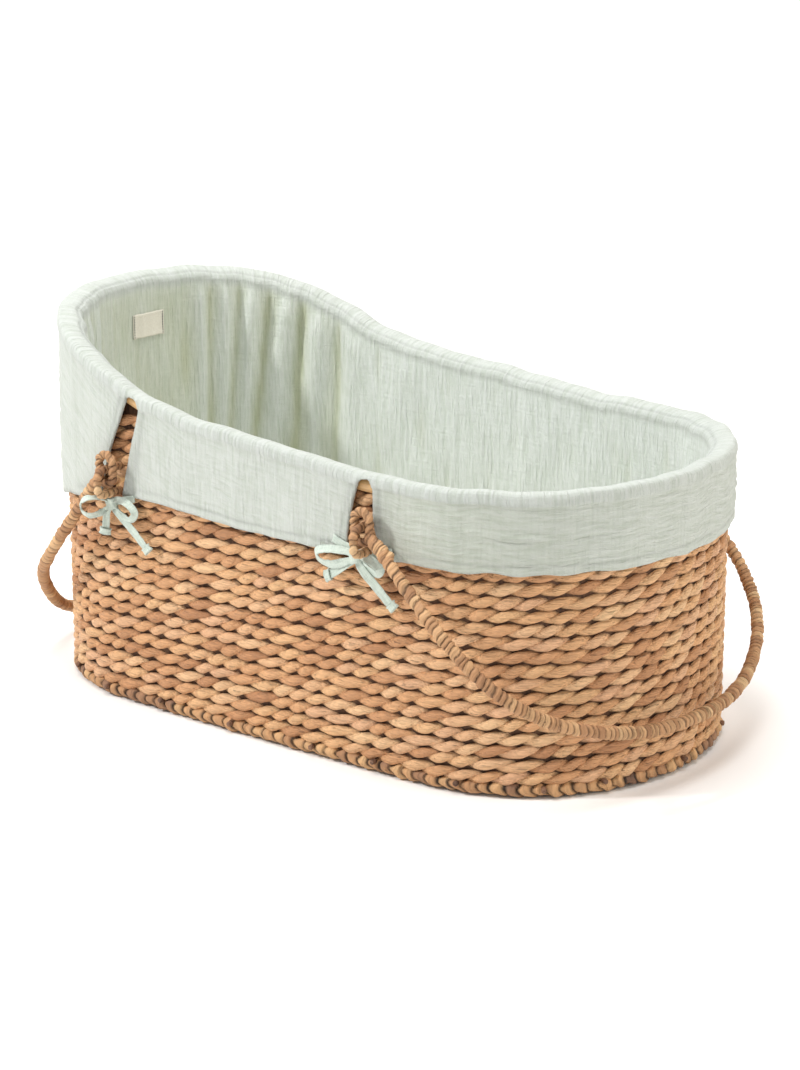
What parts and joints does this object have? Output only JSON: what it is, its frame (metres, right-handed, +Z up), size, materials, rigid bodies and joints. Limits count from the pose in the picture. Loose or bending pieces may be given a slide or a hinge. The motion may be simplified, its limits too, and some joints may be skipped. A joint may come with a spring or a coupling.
{
  "type": "moses basket",
  "caption": "Oval woven carry cot with a raised head end, a quilted muslin liner with a tied skirt, and two swinging wrapped-rope carrying handles.",
  "frame": {"origin": "on the floor under the middle of the basket", "axes": "+X to the foot end, -X to the raised head end, +Y to the far side, +Z up"},
  "size_m": [0.8696, 0.5276, 0.4317],
  "materials": {
    "wicker": "matte",
    "rope": "matte",
    "rattan": "satin",
    "muslin": "matte",
    "ribbon": "matte",
    "label_tape": "matte",
    "ticking": "matte",
    "foam": "matte"
  },
  "bodies": {
    "basket": {"base_panel": "wicker", "base_border": "wicker", "wall_weave": "wicker", "wall_stakes": "rattan", "rim_pole": "rattan", "liner_wall": "muslin", "liner_floor": "muslin", "skirt_head": "muslin", "skirt_foot": "muslin", "skirt_near": "muslin", "skirt_far": "muslin", "label": "label_tape", "mattress_cover": "ticking", "mattress_core": "foam", "anchor_ring_head_near": "rope", "anchor_ring_head_far": "rope", "anchor_ring_foot_near": "rope", "anchor_ring_foot_far": "rope", "ring_knot_head_near": "rope", "ring_knot_head_far": "rope", "ring_knot_foot_near": "rope", "ring_knot_foot_far": "rope", "ribbon_bow_head_near": "ribbon", "ribbon_bow_head_far": "ribbon", "ribbon_bow_foot_near": "ribbon", "ribbon_bow_foot_far": "ribbon"},
    "head_handle": {"handle_rope_head": "rope", "handle_eye_head_near": "rope", "handle_eye_head_far": "rope", "handle_whipping_head_near": "rope", "handle_whipping_head_far": "rope"},
    "foot_handle": {"handle_rope_foot": "rope", "handle_eye_foot_near": "rope", "handle_eye_foot_far": "rope", "handle_whipping_foot_near": "rope", "handle_whipping_foot_far": "rope"}
  },
  "joints": [
    {"name": "head_handle_swing", "type": "hinge", "parent": "basket", "child": "head_handle", "pos_m": [-0.205, 0, 0.274], "axis": [0, 1, 0], "range_deg": [0, 167.5]},
    {"name": "foot_handle_swing", "type": "hinge", "parent": "basket", "child": "foot_handle", "pos_m": [0.152, 0, 0.274], "axis": [0, -1, 0], "range_deg": [0, 157.5]}
  ]
}
